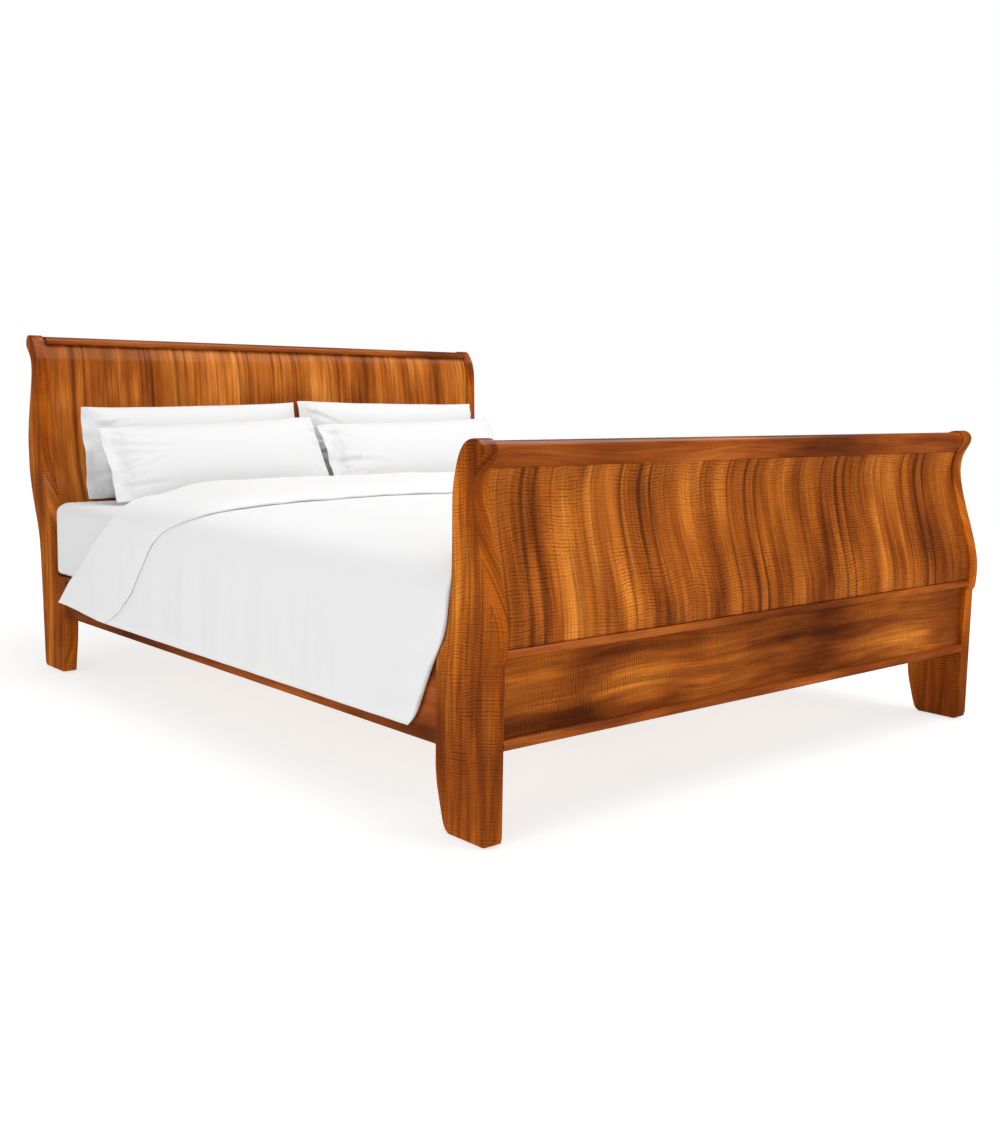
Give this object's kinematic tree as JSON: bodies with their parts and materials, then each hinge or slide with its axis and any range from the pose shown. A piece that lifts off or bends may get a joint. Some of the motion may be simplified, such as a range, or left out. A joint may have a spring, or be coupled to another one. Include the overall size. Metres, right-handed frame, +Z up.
{
  "type": "sleigh bed",
  "caption": "Sleigh bed with S-curved headboard and footboard, side rails and slats, holding a mattress, duvet and pillows.",
  "frame": {"origin": "on the floor, at the centre of the bed's footprint", "axes": "+X to the right-hand side seen from the foot, +Y from the footboard towards the headboard, +Z up"},
  "size_m": [1.97, 2.4903, 1.134],
  "materials": {
    "koa_post": "gloss lacquered koa",
    "koa_panel": "gloss lacquered figured koa, vertical grain",
    "koa_flat": "gloss lacquered koa, horizontal grain",
    "koa_trim": "gloss lacquered plain koa",
    "plain_wood": "planed, unfinished",
    "steel": "zinc plated",
    "glide_plastic": "moulded",
    "mattress_ticking": "woven ticking",
    "sheet_cotton": "plain cotton",
    "duvet_cotton": "plain cotton over down",
    "pillow_cotton": "plain cotton pillowcase"
  },
  "bodies": {
    "frame": {"foot_post_left": "koa_post", "foot_post_right": "koa_post", "head_post_left": "koa_post", "head_post_right": "koa_post", "foot_curved_panel": "koa_panel", "foot_cap_rail": "koa_trim", "foot_middle_bead": "koa_trim", "foot_lower_panel": "koa_flat", "foot_lower_bead": "koa_trim", "foot_inner_rail": "plain_wood", "footboard_dowels": "plain_wood", "head_curved_panel": "koa_panel", "head_cap_rail": "koa_trim", "head_lower_rail": "koa_flat", "headboard_dowels": "plain_wood", "side_rail_left": "koa_flat", "side_rail_right": "koa_flat", "ledger_left": "plain_wood", "ledger_right": "plain_wood", "ledger_screws": "steel", "slat_screws": "steel", "centre_beam": "plain_wood", "beam_hanger_foot": "steel", "beam_hanger_head": "steel", "centre_leg_1": "plain_wood", "centre_leg_2": "plain_wood", "centre_leg_3": "plain_wood", "centre_leg_bolts": "steel", "floor_glides": "glide_plastic", "strike_plate_foot_left": "steel", "strike_plate_foot_right": "steel", "strike_plate_head_left": "steel", "strike_plate_head_right": "steel", "hook_plate_foot_left": "steel", "hook_plate_foot_right": "steel", "hook_plate_head_left": "steel", "hook_plate_head_right": "steel", "plate_screws": "steel", "slat_1": "plain_wood", "slat_2": "plain_wood", "slat_3": "plain_wood", "slat_4": "plain_wood", "slat_5": "plain_wood", "slat_6": "plain_wood", "slat_7": "plain_wood", "slat_8": "plain_wood", "slat_9": "plain_wood", "slat_10": "plain_wood", "slat_11": "plain_wood", "slat_12": "plain_wood", "slat_13": "plain_wood"},
    "mattress": {"mattress": "mattress_ticking", "fitted_sheet": "sheet_cotton"},
    "duvet": {"duvet": "duvet_cotton"},
    "pillow_back_left": {"pillow_back_left": "pillow_cotton"},
    "pillow_back_right": {"pillow_back_right": "pillow_cotton"},
    "pillow_front_left": {"pillow_front_left": "pillow_cotton"},
    "pillow_front_right": {"pillow_front_right": "pillow_cotton"}
  },
  "joints": [
    {"name": "mattress_lift", "type": "slide", "parent": "frame", "child": "mattress", "axis": [0, 0, 1], "range_m": [0, 0.22]},
    {"name": "duvet_lift", "type": "slide", "parent": "mattress", "child": "duvet", "axis": [0, 0, 1], "range_m": [0, 0.2]},
    {"name": "pillow_back_left_lift", "type": "slide", "parent": "mattress", "child": "pillow_back_left", "axis": [0, 0, 1], "range_m": [0, 0.22]},
    {"name": "pillow_back_right_lift", "type": "slide", "parent": "mattress", "child": "pillow_back_right", "axis": [0, 0, 1], "range_m": [0, 0.22]},
    {"name": "pillow_front_left_lift", "type": "slide", "parent": "pillow_back_left", "child": "pillow_front_left", "axis": [0, 0, 1], "range_m": [0, 0.22]},
    {"name": "pillow_front_right_lift", "type": "slide", "parent": "pillow_back_right", "child": "pillow_front_right", "axis": [0, 0, 1], "range_m": [0, 0.22]}
  ]
}
